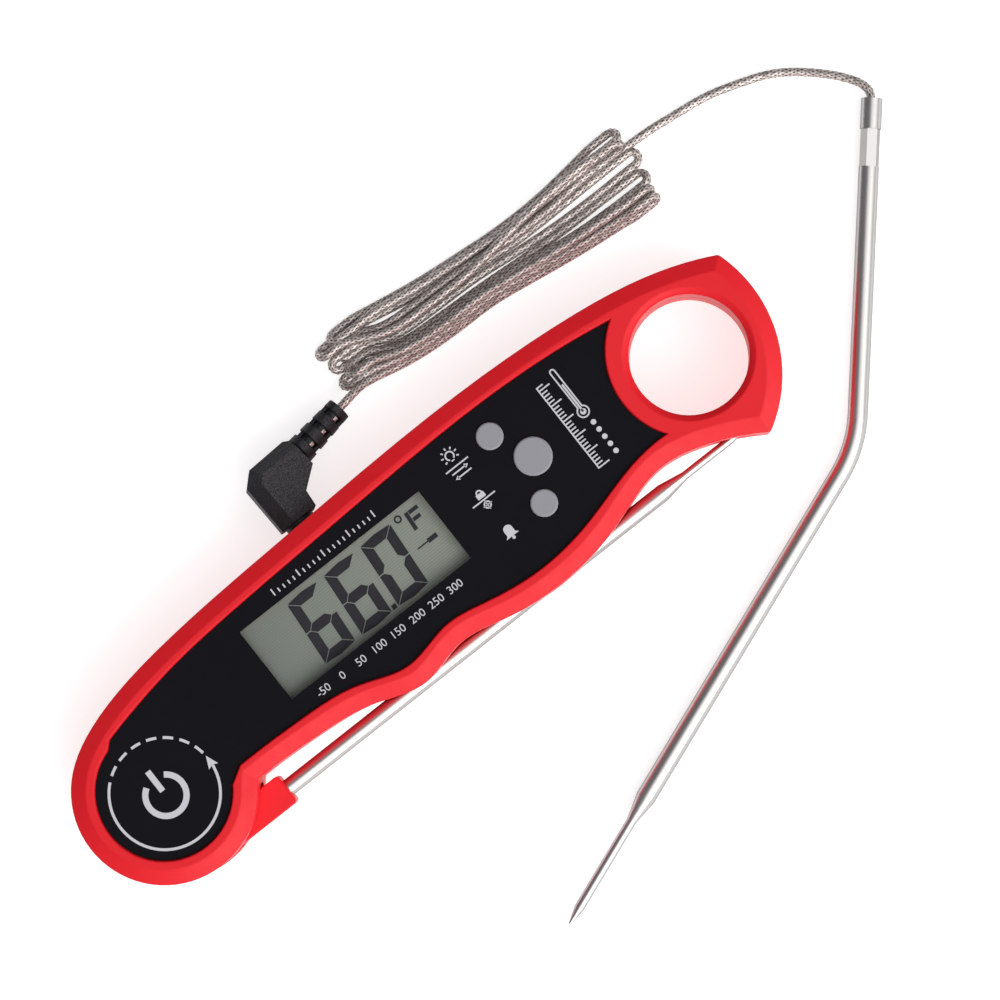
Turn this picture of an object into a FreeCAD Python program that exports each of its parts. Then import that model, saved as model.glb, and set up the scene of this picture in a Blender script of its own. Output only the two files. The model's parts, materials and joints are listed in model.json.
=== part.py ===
import FreeCAD, Part
import math
import os
from FreeCAD import Vector as V

# A folding meat thermometer with a second, wired probe, lying on its back.
# Millimetres. +X runs from the folding probe's pivot to the finger ring, +Z out of the display.
# The origin is on the pivot axis, in the flat back face.

# --- heights -----------------------------------------------------------------------------
RIM_Z = 19.0  # top of the front shell's rim
PANEL_TOP = 18.4  # black face panel, sunk in the rim
DECK_TOP = 17.6  # ledge that the panel is glued to
DECK_BOTTOM = 16.2
AXIS_Z = 9.5  # parting plane of the shells, axis of the folded probe and of the jack
FLOOR = 1.8  # back shell's floor
BOARD_Z = 12.4
BOARD_TOP = 13.6

# --- outline of the two shells -----------------------------------------------------------
END = (-0.4, 0.5)  # centre of the round end, close to the pivot
END_R = 18.1
UPPER_TANGENT_DEG = 125.0  # where the upper edge leaves the round end
NOTCH_DEG = -36.0  # where the lower edge meets the round end
UPPER_EDGE = [(0.3, 20.15), (15, 22.75), (31, 24.0), (48, 24.7), (84, 25.7), (116, 24.1), (136, 20.3)]
UPPER_CORNER = (147.45, 15.6)
RING_SIDE = (148.7, 5.0)
LOWER_CORNER = (134.2, -17.4)
LOWER_EDGE = [
    (124, -12.0),
    (113, -9.7),
    (99, -13.4),
    (85, -15.4),
    (72, -14.0),
    (62, -12.3),
    (52.3, -14.2),
    (42, -11.3),
    (30, -9.4),
]
NOTCH = (15.4, -8.8)
BEVEL_IN, BEVEL_DOWN = 3.0, 1.2  # sloping facet along the front's outer edge
CORNER_R = 1.2
BACK_ROUND = 2.4

# --- finger ring -------------------------------------------------------------------------
RING = (131.1, 4.0)
RING_R = 11.65
RING_LIP_IN, RING_LIP_DOWN, RING_LIP_ROUND = 1.2, 0.8, 0.5  # dished lip round the hole
RING_BACK_ROUND = 0.6

# --- face panel --------------------------------------------------------------------------
PANEL_END_R = 13.2
PANEL_BEVEL_IN, PANEL_BEVEL_DOWN = 1.2, 0.3  # the rim slopes down to the panel
PANEL_UPPER_DEG = 106.0
PANEL_LOWER_DEG = -32.0
PANEL_STEP = (1.6, 1.5)  # notch between the round end's arc and the upper edge
PANEL_UPPER = [(4.0, 16.2), (15, 18.15), (32, 19.55), (62, 20.8), (88, 21.5), (108, 20.65)]
PANEL_TIP = (122.9, 18.6)
PANEL_RING_SIDE = (115.15, 4.7)
PANEL_LOWER_TIP = (118.0, -5.15)
PANEL_LOWER = [
    (108, -6.0),
    (96, -9.15),
    (84, -10.6),
    (72, -9.2),
    (62, -7.75),
    (51.8, -9.4),
    (42, -6.45),
    (30, -4.75),
]
PANEL_NOTCH = (14.4, -4.4)

# --- cavity for the electronics, and what closes it ---------------------------------------
CAVITY = [
    (18.9, -2.9),
    (38, -2.9),
    (47, -5.4),
    (72, -6.6),
    (78, -8.6),
    (92, -8.6),
    (104, -4.0),
    (112.2, -3.0),
    (111.6, 8.0),
    (113.6, 15.4),
    (115.6, 19.0),
    (100, 22.0),
    (84, 22.9),
    (48, 21.7),
    (21, 19.8),
    (15.6, 16.2),
    (17.6, 10.0),
    (19.4, 3.0),
]
GASKET_INNER, GASKET_OUTER, GASKET_HALF_H = 0.5, 1.2, 0.5
SHELL_SCREWS = [
    (24.0, 15.2),
    (24.0, 1.0),
    (80.6, 19.0),
    (84.6, -4.9),
    (111.3, 17.4),
    (113.6, -5.4),
    (142.2, 13.9),
    (137.2, -10.8),
]
BOSS_R, SCREW_R, SCREW_HEAD_R, SCREW_HEAD_H = 2.5, 1.1, 2.1, 1.9
SCREW_SEAT_Z, SCREW_TOP_Z = 3.6, 13.2
BOARD_SCREWS = [(62.0, 19.4), (79.6, 9.0), (104.5, 1.0)]
POST_R, BOARD_SCREW_R, BOARD_SCREW_HEAD_R = 1.6, 0.8, 1.5

# --- display -----------------------------------------------------------------------------
WINDOW = (30.0, 74.0, -0.8, 15.6)  # clear window: x low, x high, y low, y high
WINDOW_Z, WINDOW_TOP = 16.1, 18.2
WINDOW_FLANGE, WINDOW_GAP = 0.8, 0.1  # the flange is under the face panel
GLASS_Z, GLASS_TOP = 15.0, 16.0
FRAME_INNER, FRAME_OUTER = 0.7, 1.8  # beyond the window on each side

# --- buttons -----------------------------------------------------------------------------
BUTTONS = {  # name: (x, y, radius)
    "light": (91.3, 15.4, 2.7),
    "hold": (95.5, 7.2, 3.8),
    "alarm": (91.6, -1.2, 2.7),
}
BUTTON_PROUD = 0.45
BUTTON_GAP = 0.15
BUTTON_FLANGE = 0.8
BUTTON_STEM_R, BUTTON_STEM_Z = 1.3, 15.1
SWITCH_HALF, SWITCH_TOP, SWITCH_KNOB_R, SWITCH_KNOB_TOP = 1.9, 14.2, 1.0, 14.5

# --- on the board and in the back shell ----------------------------------------------------
BOARD_END_X = 111.0
CHIP = (36.0, 45.0, 2.0, 11.0)
BUZZER = (62.5, 6.0)
BUZZER_R, BUZZER_Z = 6.8, 9.2
REED_X, REED_Y0, REED_Y1, REED_R = 23.2, 4.0, 12.2, 0.8
MAGNETS = [(34.0, 7.0), (76.0, 7.0)]
MAGNET_R, MAGNET_TOP = 5.0, 4.2
BATTERY = (98.0, 6.4)
BATTERY_R, BATTERY_Z, BATTERY_TOP = 10.0, 3.4, 6.6
DOOR_R, DOOR_FACE_Z, DOOR_FLANGE_TOP, DOOR_NECK_R = 12.3, 0.25, 1.75, 11.5
DOOR_SEAT_R, DOOR_BORE_R, WELL_R, WELL_TOP = 12.5, 11.8, 14.0, 8.6
LUG_R, LUG_Z, LUG_TOP, LUG_HALF_DEG = 12.9, 2.4, 3.1, 12.0
GROOVE_R, GROOVE_Z, GROOVE_TOP = 13.2, 2.1, 3.4
DOOR_TURN_DEG = 60.0
LEAF_T = 0.3

# --- folding probe -----------------------------------------------------------------------
HUB_R, HUB_HALF_H, HUB_GAP, HUB_SIDE_GAP = 16.9, 3.05, 0.2, 0.3
POST_PIVOT_R, PIVOT_FIT, BUSH_R = 4.0, 0.05, 5.2
PIVOT_SCREW_R, PIVOT_HEAD_R, PIVOT_SEAT_Z, PIVOT_END_Z = 1.5, 3.0, 15.2, 3.2
WASHER_T, PIVOT_HEAD_H = 0.4, 1.8
SLOT_FROM_DEG, SLOT_TO_DEG = 90.0, 326.5  # the slot is open to the outside between these
PROBE_Y = -13.6
NECK_END_X, NECK_HALF_W, NECK_ROUND = 18.2, 3.2, 0.9
PROBE_R, PROBE_BORE_R, PROBE_SEAT_X = 1.75, 1.4, 9.0
PROBE_THIN_R, PROBE_THIN_BORE_R = 0.85, 0.55
PROBE_CONE_X, PROBE_THIN_X, PROBE_POINT_X, PROBE_TIP_X = 110.9, 116.2, 127.6, 130.6
PROBE_TIP_R = 0.3
CHANNEL_R, CHANNEL_END_X = 2.15, 132.0
HUB_MAGNET_DEG, HUB_MAGNET_AT_R, HUB_MAGNET_R = 20.0, 12.6, 2.0

# --- jack and plug -----------------------------------------------------------------------
JACK_X = 51.8
JACK_BODY = (48.6, 55.0, 12.0, 20.6, 6.7, 12.2)
JACK_NOSE_R, JACK_NOSE_Y, JACK_BORE_R = 2.6, 24.4, 1.3
PIN_SLEEVE_Y, PIN_RING_Y, PIN_WAIST_Y, PIN_HEAD_Y, PIN_TIP_Y = 17.6, 17.0, 15.6, 14.8, 14.0
PIN_R, PIN_WAIST_R, PIN_HEAD_R, PIN_TIP_R = 1.25, 0.8, 1.1, 0.4
PIN_END_Y = 30.1  # inside the housing
COLLAR_R, COLLAR_Y0, COLLAR_Y1 = 3.2, 25.05, 26.1
PLUG_ROLL_DEG = 10.0  # the right-angle plug hangs this far below level
HOUSING = [
    (47.8, 26.1),
    (47.4, 36.9),
    (50.1, 39.6),
    (58.6, 40.1),
    (59.7, 39.4),
    (60.4, 32.9),
    (56.1, 29.5),
    (55.8, 26.1),
]
HOUSING_HALF_H, HOUSING_BEVEL = 4.3, 1.0
HOUSING_SLOPE_DOWN, HOUSING_SLOPE_IN = 2.8, 2.6  # the back and the left fall away from the top
BOOT_START = V(60.5, 36.75, AXIS_Z)
BOOT_HEADING_DEG, BOOT_L, BOOT_R0, BOOT_R1 = 9.5, 11.3, 2.95, 2.45
BOOT_GAPS = (1.6, 5.0, 8.4)  # window gaps along the strain relief
BOOT_GAP_W, BOOT_CORE_R = 1.4, 1.5

# --- wired probe and its cord --------------------------------------------------------------
CORD_R = 0.9
STEM_R, STEM_BORE_R = 2.0, 1.6
STEM_MOUTH = V(190.8, 21.9, STEM_R + 0.1)
STEM_CORNER = V(146.1, -29.8, STEM_R + 0.1)
STEM_POINT = V(44.4, -68.4, STEM_R + 0.1)
STEM_BEND_R = 26.0
STEM_THIN_R, STEM_THIN_BORE_R = 1.0, 0.7
STEM_CONE_L, STEM_THIN_L, STEM_TIP_L, STEM_TIP_R = 5.4, 19.8, 3.6, 0.3
CRIMP_R, CRIMP_ROUND_L, CRIMP_L, CRIMP_ACROSS, CRIMP_SPIGOT_L = 2.1, 6.0, 13.4, 3.4, 4.0
CRIMP_MOUTH_R, CRIMP_MOUTH_L = 1.35, 1.2
HANK = [
    (76.5, 50.6),
    (84.0, 51.6),
    (100.0, 49.9),
    (124.0, 48.2),
    (143.6, 49.4),
    (149.2, 46.6),
    (149.6, 40.0),
    (146.8, 32.4),
    (136.0, 31.8),
    (112.0, 34.4),
    (90.0, 35.6),
    (77.6, 37.8),
    (73.6, 42.0),
]
HANK_H, HANK_ROUND = 5.6, 1.6
LEAD = [
    V(71.4, 38.63, 6.04),
    V(74.6, 39.2, 5.45),
    V(78.2, 39.9, 4.0),
]
RUN = [
    V(145.6, 43.9, 1.4),
    V(151.2, 44.4, 1.0),
    V(158.4, 43.5, 0.92),
    V(165.8, 42.6, 0.92),
    V(172.2, 40.6, 0.92),
    V(178.6, 38.2, 0.92),
    V(183.4, 34.7, 0.95),
    V(187.3, 30.9, 1.15),
    V(189.5, 28.2, 1.45),
    V(191.2, 25.5, 1.85),
    V(191.5, 22.72, 2.1),
    V(190.02, 20.99, 2.1),
]


# --- helpers -----------------------------------------------------------------------------
def xyz(point, z=0.0):
    return V(point[0], point[1], z)


def on_circle(radius, degrees, centre=(0, 0)):
    a = math.radians(degrees)
    return V(centre[0] + radius * math.cos(a), centre[1] + radius * math.sin(a), 0)


def cylinder(point, radius, low, high):
    return Part.makeCylinder(radius, high - low, xyz(point, low))


def rod(start, end, radius, end_radius=None):
    """A cylinder, or a cone where the two radii differ, from one point to another."""
    axis = end - start
    if end_radius is None:
        return Part.makeCylinder(radius, axis.Length, start, axis)
    return Part.makeCone(radius, end_radius, axis.Length, start, axis)


def annulus(point, inner, outer, low, high):
    return cylinder(point, outer, low, high).cut(cylinder(point, inner, low, high))


def box(x0, x1, y0, y1, z0, z1):
    return Part.makeBox(x1 - x0, y1 - y0, z1 - z0, V(x0, y0, z0))


def line(a, b):
    return Part.LineSegment(a, b).toShape()


def arc(a, b, c):
    return Part.Arc(a, b, c).toShape()


def spline(points, start=None):
    """A smooth curve through the points, leaving the first one along start."""
    curve = Part.BSplineCurve()
    if start is None:
        curve.interpolate(Points=points)
    else:
        rest = len(points) - 1
        curve.interpolate(
            Points=points,
            Tangents=[start] + [V(1, 0, 0)] * rest,
            TangentFlags=[True] + [False] * rest,
        )
    return curve.toShape()


def polygon(points):
    corners = [xyz(p) for p in points]
    return [line(a, b) for a, b in zip(corners, corners[1:] + corners[:1])]


def loop(points):
    """A closed smooth curve through the points."""
    curve = Part.BSplineCurve()
    curve.interpolate(Points=[xyz(p) for p in points], PeriodicFlag=True)
    return [curve.toShape()]


def flat_face(edges, z):
    face = Part.Face(Part.Wire(Part.__sortEdges__(edges)))
    face.translate(V(0, 0, z))
    return face


def prism(edges, low, high):
    return flat_face(edges, low).extrude(V(0, 0, high - low))


def edges_at(shape, z):
    return [e for e in shape.Edges if all(abs(v.Z - z) < 1e-6 for v in e.Vertexes)]


def sector(radius, from_deg, to_deg, low, high, point=(0, 0)):
    start, middle = on_circle(radius, from_deg), on_circle(radius, (from_deg + to_deg) / 2)
    end = on_circle(radius, to_deg)
    solid = prism([line(V(0, 0, 0), start), arc(start, middle, end), line(end, V(0, 0, 0))], low, high)
    solid.translate(xyz(point))
    return solid


def bent_tube(name, route, radius):
    """Straight runs joined by tangent arcs, each as large as its two runs allow."""
    pieces, start, bends = [], route[0], []
    for before, corner, after in zip(route, route[1:], route[2:]):
        back, ahead = (before - corner).normalize(), (after - corner).normalize()
        half_turn = (math.pi - back.getAngle(ahead)) / 2
        room = 0.45 * min((before - corner).Length, (after - corner).Length)
        bend = room / math.tan(half_turn)
        inward = (back + ahead).normalize()
        centre = corner + inward * (bend / math.cos(half_turn))
        first, last = corner + back * room, corner + ahead * room
        pieces.append(line(start, first))
        pieces.append(arc(first, centre - inward * bend, last))
        start = last
        bends.append(round(bend, 1))
    pieces.append(line(start, route[-1]))
    path = Part.Wire(pieces)
    disc = Part.Face(Part.Wire(Part.makeCircle(radius, route[0], route[1] - route[0])))
    tube = path.makePipeShell([disc.OuterWire], True, False)
    print(name, "bend radii", bends, "length", round(path.Length, 1))
    print(name, "volume", round(tube.Volume, 1), "section x length", round(disc.Area * path.Length, 1))
    return tube


# --- outlines ----------------------------------------------------------------------------
def shell_outline():
    """Round end, upper edge, ring side and wavy lower edge."""
    notch_on_end = on_circle(END_R, NOTCH_DEG, END)
    upper_start = on_circle(END_R, UPPER_TANGENT_DEG, END)
    along = on_circle(1.0, UPPER_TANGENT_DEG - 90)
    return [
        arc(notch_on_end, on_circle(END_R, 180, END), upper_start),
        spline([upper_start] + [xyz(p) for p in UPPER_EDGE] + [xyz(UPPER_CORNER)], along),
        arc(xyz(UPPER_CORNER), xyz(RING_SIDE), xyz(LOWER_CORNER)),
        spline([xyz(LOWER_CORNER)] + [xyz(p) for p in LOWER_EDGE] + [xyz(NOTCH)]),
        line(xyz(NOTCH), notch_on_end),
    ]


def panel_outline():
    lower_on_end = on_circle(PANEL_END_R, PANEL_LOWER_DEG, END)
    upper_on_end = on_circle(PANEL_END_R, PANEL_UPPER_DEG, END)
    upper_start = upper_on_end + xyz(PANEL_STEP)
    return [
        arc(lower_on_end, on_circle(PANEL_END_R, 180, END), upper_on_end),
        line(upper_on_end, upper_start),
        spline([upper_start] + [xyz(p) for p in PANEL_UPPER] + [xyz(PANEL_TIP)]),
        arc(xyz(PANEL_TIP), xyz(PANEL_RING_SIDE), xyz(PANEL_LOWER_TIP)),
        spline([xyz(PANEL_LOWER_TIP)] + [xyz(p) for p in PANEL_LOWER] + [xyz(PANEL_NOTCH)]),
        line(xyz(PANEL_NOTCH), lower_on_end),
    ]


def cavity(low, high, grow=0.0):
    face = flat_face(polygon(CAVITY), low)
    if grow:
        face = face.makeOffset2D(grow)
    return face.extrude(V(0, 0, high - low))


# --- room for what moves -------------------------------------------------------------------
def hub_slot():
    low, high = AXIS_Z - HUB_HALF_H - HUB_GAP, AXIS_Z + HUB_HALF_H + HUB_GAP
    slot = cylinder((0, 0), HUB_R + HUB_SIDE_GAP, low, high)
    slot = slot.fuse(sector(2 * END_R, SLOT_FROM_DEG, SLOT_TO_DEG, low, high))
    return slot.cut(cylinder((0, 0), POST_PIVOT_R, low, high))


def probe_channel():
    """Groove for the folded probe, open to -Y."""
    start, end = V(NOTCH[0] - 4, PROBE_Y, AXIS_Z), V(CHANNEL_END_X, PROBE_Y, AXIS_Z)
    below = box(start.x, end.x, 2 * PROBE_Y, PROBE_Y, AXIS_Z - CHANNEL_R, AXIS_Z + CHANNEL_R)
    return rod(start, end, CHANNEL_R).fuse(below)


def jack_hole():
    return rod(V(JACK_X, 15, AXIS_Z), V(JACK_X, 40, AXIS_Z), JACK_NOSE_R)


def gasket_ring(half_height, slack=0.0):
    low, high = AXIS_Z - half_height, AXIS_Z + half_height
    return cavity(low, high, GASKET_OUTER + slack).cut(cavity(low, high, GASKET_INNER - slack))


# --- shells ------------------------------------------------------------------------------
def window_box(grow, low, high):
    x0, x1, y0, y1 = WINDOW
    return box(x0 - grow, x1 + grow, y0 - grow, y1 + grow, low, high)


def corner_edges(body):
    """The upright edges at the two corners beside the finger ring."""
    corners = [xyz(UPPER_CORNER), xyz(LOWER_CORNER)]
    found = []
    for edge in body.Edges:
        ends = [V(v.X, v.Y, 0) for v in edge.Vertexes]
        if any(all((end - corner).Length < 0.01 for end in ends) for corner in corners):
            found.append(edge)
    return found


def ring_edge(body, z):
    return [e for e in edges_at(body, z) if e.Closed and abs(e.Length - 2 * math.pi * RING_R) < 0.1]


def rim():
    """The front shell's outside: outer facet, dished ring, and a slope down to the face panel."""
    body = prism(shell_outline(), AXIS_Z, RIM_Z)
    body = body.makeChamfer(BEVEL_DOWN, BEVEL_IN, edges_at(body, RIM_Z))
    body = body.makeFillet(CORNER_R, corner_edges(body))
    body = body.cut(cylinder(RING, RING_R, 0, 2 * RIM_Z))
    body = body.makeChamfer(RING_LIP_DOWN, RING_LIP_IN, ring_edge(body, RIM_Z))
    body = body.makeFillet(RING_LIP_ROUND, ring_edge(body, RIM_Z - RING_LIP_DOWN))
    body = body.cut(prism(panel_outline(), DECK_TOP, 2 * RIM_Z))
    sides = [e.CenterOfMass for e in flat_face(panel_outline(), RIM_Z).Edges]
    recess = [e for e in edges_at(body, RIM_Z) if min((e.CenterOfMass - c).Length for c in sides) < 0.01]
    return body.makeChamfer(PANEL_BEVEL_DOWN, PANEL_BEVEL_IN, recess)


def front_shell():
    body = rim()
    body = body.cut(cavity(AXIS_Z - 1, DECK_BOTTOM))
    for spot in SHELL_SCREWS[:5]:
        body = body.fuse(cylinder(spot, BOSS_R, AXIS_Z, DECK_BOTTOM))
    for spot in SHELL_SCREWS:
        body = body.cut(cylinder(spot, SCREW_R, AXIS_Z, SCREW_TOP_Z))
    for spot in BOARD_SCREWS:
        body = body.fuse(annulus(spot, BOARD_SCREW_R, POST_R, BOARD_TOP, DECK_BOTTOM))
    body = body.cut(window_box(WINDOW_FLANGE + WINDOW_GAP, DECK_BOTTOM, RIM_Z))
    for x, y, radius in BUTTONS.values():
        body = body.cut(cylinder((x, y), radius + BUTTON_GAP, DECK_BOTTOM, RIM_Z))
    body = body.cut(cylinder((0, 0), PIVOT_HEAD_R + 0.2, PIVOT_SEAT_Z, RIM_Z))
    body = body.cut(cylinder((0, 0), PIVOT_SCREW_R, AXIS_Z, RIM_Z))
    return trim_common(body)


def back_shell():
    body = prism(shell_outline(), 0, AXIS_Z)
    body = body.makeFillet(CORNER_R, corner_edges(body))
    body = body.makeFillet(BACK_ROUND, edges_at(body, 0))
    body = body.cut(cylinder(RING, RING_R, -1, AXIS_Z + 1))
    body = body.makeFillet(RING_BACK_ROUND, ring_edge(body, 0))
    body = body.cut(cavity(FLOOR, AXIS_Z + 1))
    for spot in SHELL_SCREWS[:5]:
        body = body.fuse(cylinder(spot, BOSS_R, FLOOR - 0.5, AXIS_Z))
    body = body.fuse(cylinder(BATTERY, WELL_R, FLOOR - 0.5, WELL_TOP).common(cavity(0, WELL_TOP, 0.2)))
    for spot in SHELL_SCREWS:
        body = body.cut(cylinder(spot, SCREW_R + 0.1, 0, AXIS_Z))
        body = body.cut(cylinder(spot, SCREW_HEAD_R + 0.15, -1, SCREW_SEAT_Z))
    for spot in MAGNETS:
        body = body.fuse(annulus(spot, MAGNET_R, MAGNET_R + 0.9, FLOOR, MAGNET_TOP - 0.4))
    body = body.cut(cylinder(BATTERY, DOOR_SEAT_R, -1, DOOR_FLANGE_TOP + 0.2))
    body = body.cut(cylinder(BATTERY, DOOR_BORE_R, 0, WELL_TOP + 1))
    body = body.cut(cylinder(BATTERY, GROOVE_R, GROOVE_Z, GROOVE_TOP))
    for third in range(3):
        middle = 120 * third + DOOR_TURN_DEG
        entry = sector(GROOVE_R, middle - LUG_HALF_DEG - 2, middle + LUG_HALF_DEG + 2, 0, GROOVE_TOP, BATTERY)
        body = body.cut(entry)
    body = body.cut(cylinder((0, 0), PIVOT_SCREW_R, PIVOT_END_Z, AXIS_Z + 1))
    return trim_common(body)


def trim_common(body):
    """Cuts what both shells share: hub slot, probe channel, jack hole, gasket groove."""
    body = body.cut(hub_slot()).cut(probe_channel()).cut(jack_hole())
    return body.cut(gasket_ring(GASKET_HALF_H))


# --- face and display ----------------------------------------------------------------------
def face_panel():
    panel = prism(panel_outline(), DECK_TOP, PANEL_TOP)
    panel = panel.cut(window_box(0, DECK_TOP, PANEL_TOP))
    for x, y, radius in BUTTONS.values():
        panel = panel.cut(cylinder((x, y), radius + BUTTON_GAP, DECK_TOP, PANEL_TOP))
    return panel


def display_nodes():
    frame = window_box(FRAME_OUTER, BOARD_TOP, WINDOW_Z).cut(window_box(FRAME_INNER, BOARD_TOP, RIM_Z))
    window = window_box(0, WINDOW_Z, WINDOW_TOP).fuse(window_box(WINDOW_FLANGE, WINDOW_Z, DECK_TOP))
    x0, x1, _, y1 = WINDOW
    return {
        "display_window": window,
        "display_glass": window_box(FRAME_INNER - 0.1, GLASS_Z, GLASS_TOP),
        "display_backlight": box(x0, x1, WINDOW[2], y1 - 2.2, BOARD_TOP, GLASS_Z),
        "display_frame": frame,
        "zebra_strip": box(x0 + 1, x1 - 1, y1 - 1.8, y1 - 0.2, BOARD_TOP, GLASS_Z),
    }


# --- buttons and switches -------------------------------------------------------------------
def button(x, y, radius):
    top = PANEL_TOP + BUTTON_PROUD
    cap = cylinder((x, y), radius, DECK_BOTTOM - 0.9, top)
    cap = cap.makeFillet(0.35, edges_at(cap, top))
    flange = cylinder((x, y), radius + BUTTON_FLANGE, DECK_BOTTOM - 0.9, DECK_BOTTOM - 0.1)
    return cap.fuse([flange, cylinder((x, y), BUTTON_STEM_R, BUTTON_STEM_Z, DECK_BOTTOM)])


def tact_switch(x, y):
    body = box(x - SWITCH_HALF, x + SWITCH_HALF, y - SWITCH_HALF, y + SWITCH_HALF, BOARD_TOP, SWITCH_TOP)
    return body.fuse(cylinder((x, y), SWITCH_KNOB_R, SWITCH_TOP, SWITCH_KNOB_TOP))


# --- board and what it carries ---------------------------------------------------------------
def main_board():
    board = cavity(BOARD_Z, BOARD_TOP, -0.5).common(box(0, BOARD_END_X, -50, 50, BOARD_Z, BOARD_TOP))
    for spot in SHELL_SCREWS[:5]:
        board = board.cut(cylinder(spot, BOSS_R + 0.3, BOARD_Z, BOARD_TOP))
    for spot in BOARD_SCREWS:
        board = board.cut(cylinder(spot, BOARD_SCREW_R, BOARD_Z, BOARD_TOP))
    return board


def board_screw(spot):
    shaft = cylinder(spot, BOARD_SCREW_R, BOARD_Z - 0.5, BOARD_TOP + 1.8)
    return shaft.fuse(cylinder(spot, BOARD_SCREW_HEAD_R, BOARD_Z - 1.2, BOARD_Z))


def shell_screw(spot):
    shaft = cylinder(spot, SCREW_R, SCREW_SEAT_Z - 0.5, SCREW_TOP_Z)
    head = cylinder(spot, SCREW_HEAD_R, SCREW_SEAT_Z - SCREW_HEAD_H, SCREW_SEAT_Z)
    recess = SCREW_SEAT_Z - SCREW_HEAD_H
    cross = [
        box(spot[0] - 1.2, spot[0] + 1.2, spot[1] - 0.25, spot[1] + 0.25, recess, recess + 0.8),
        box(spot[0] - 0.25, spot[0] + 0.25, spot[1] - 1.2, spot[1] + 1.2, recess, recess + 0.8),
    ]
    return shaft.fuse(head).cut(cross)


def battery_leaf_minus():
    x, y = BATTERY
    flat = box(x - 4, x + 4, y - 1.5, y + 1.5, BATTERY_TOP, BATTERY_TOP + LEAF_T)
    return flat.fuse(box(x + 4 - LEAF_T, x + 4, y - 1.5, y + 1.5, BATTERY_TOP, BOARD_Z))


def battery_leaf_plus():
    x, y = BATTERY[0], BATTERY[1] + BATTERY_R
    return box(x - 2.5, x + 2.5, y, y + LEAF_T, BATTERY_Z + 0.6, BOARD_Z)


# --- battery door ----------------------------------------------------------------------------
def battery_door():
    flange = cylinder(BATTERY, DOOR_R, DOOR_FACE_Z, DOOR_FLANGE_TOP)
    flange = flange.makeChamfer(0.3, edges_at(flange, DOOR_FACE_Z))
    door = flange.fuse(cylinder(BATTERY, DOOR_NECK_R, DOOR_FLANGE_TOP, BATTERY_Z))
    for third in range(3):
        middle = 120 * third
        door = door.fuse(sector(LUG_R, middle - LUG_HALF_DEG, middle + LUG_HALF_DEG, LUG_Z, LUG_TOP, BATTERY))
    x, y = BATTERY
    return door.cut(box(x - 6, x + 6, y - 0.9, y + 0.9, 0, DOOR_FACE_Z + 0.9))


def battery_door_seal():
    return annulus(BATTERY, DOOR_BORE_R + 0.05, DOOR_R - 0.05, DOOR_FLANGE_TOP, DOOR_FLANGE_TOP + 0.2)


# --- folding probe ---------------------------------------------------------------------------
def probe_hub():
    low, high = AXIS_Z - HUB_HALF_H, AXIS_Z + HUB_HALF_H
    disc = cylinder((0, 0), HUB_R, low, high)
    neck = box(0, NECK_END_X, PROBE_Y - NECK_HALF_W, PROBE_Y + NECK_HALF_W, low, high)
    end = [e for e in neck.Edges if all(abs(v.X - NECK_END_X) < 1e-6 for v in e.Vertexes)]
    neck = neck.makeFillet(NECK_ROUND, end)
    hub = disc.fuse(neck).cut(cylinder((0, 0), BUSH_R, low, high))
    hub = hub.cut(rod(V(PROBE_SEAT_X, PROBE_Y, AXIS_Z), V(2 * NECK_END_X, PROBE_Y, AXIS_Z), PROBE_R))
    spot = on_circle(HUB_MAGNET_AT_R, HUB_MAGNET_DEG)
    return hub.cut(cylinder(spot, HUB_MAGNET_R, AXIS_Z, high))


def hub_magnet():
    return cylinder(on_circle(HUB_MAGNET_AT_R, HUB_MAGNET_DEG), HUB_MAGNET_R, AXIS_Z, AXIS_Z + HUB_HALF_H)


def stem_profile(start, direction, lengths, radii):
    """Rods and cones in a row along one line."""
    solids, point = [], start
    for length, near, far in zip(lengths, radii, radii[1:]):
        end = point + direction * length
        solids.append(rod(point, end, near) if near == far else rod(point, end, near, far))
        point = end
    return solids[0].fuse(solids[1:]) if len(solids) > 1 else solids[0]


def folding_probe_tube():
    start = V(PROBE_SEAT_X, PROBE_Y, AXIS_Z)
    marks = [PROBE_SEAT_X, PROBE_CONE_X, PROBE_THIN_X, PROBE_POINT_X, PROBE_TIP_X]
    lengths = [b - a for a, b in zip(marks, marks[1:])]
    along = V(1, 0, 0)
    outer = [PROBE_R, PROBE_R, PROBE_THIN_R, PROBE_THIN_R, PROBE_TIP_R]
    inner = [PROBE_BORE_R, PROBE_BORE_R, PROBE_THIN_BORE_R, PROBE_THIN_BORE_R]
    return stem_profile(start, along, lengths, outer).cut(stem_profile(start, along, lengths[:3], inner))


def folding_probe_sensor():
    return rod(V(PROBE_THIN_X + 6, PROBE_Y, AXIS_Z), V(PROBE_POINT_X, PROBE_Y, AXIS_Z), PROBE_THIN_BORE_R)


# --- jack and plug ---------------------------------------------------------------------------
def jack_socket():
    body = box(*JACK_BODY)
    body = body.fuse(rod(V(JACK_X, JACK_BODY[3], AXIS_Z), V(JACK_X, JACK_NOSE_Y, AXIS_Z), JACK_NOSE_R))
    return body.cut(rod(V(JACK_X, JACK_BODY[2] + 1, AXIS_Z), V(JACK_X, 40, AXIS_Z), JACK_BORE_R))


def jack_lug():
    x0, x1, y0, y1, _, z1 = JACK_BODY
    return box(x0 + 1, x1 - 1, y0 + 1, y0 + 3, z1, BOARD_Z)


def rolled(shape):
    """The plug's pieces hang a little below level, turned about the pin."""
    shape.rotate(V(JACK_X, 0, AXIS_Z), V(0, 1, 0), PLUG_ROLL_DEG)
    return shape


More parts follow.
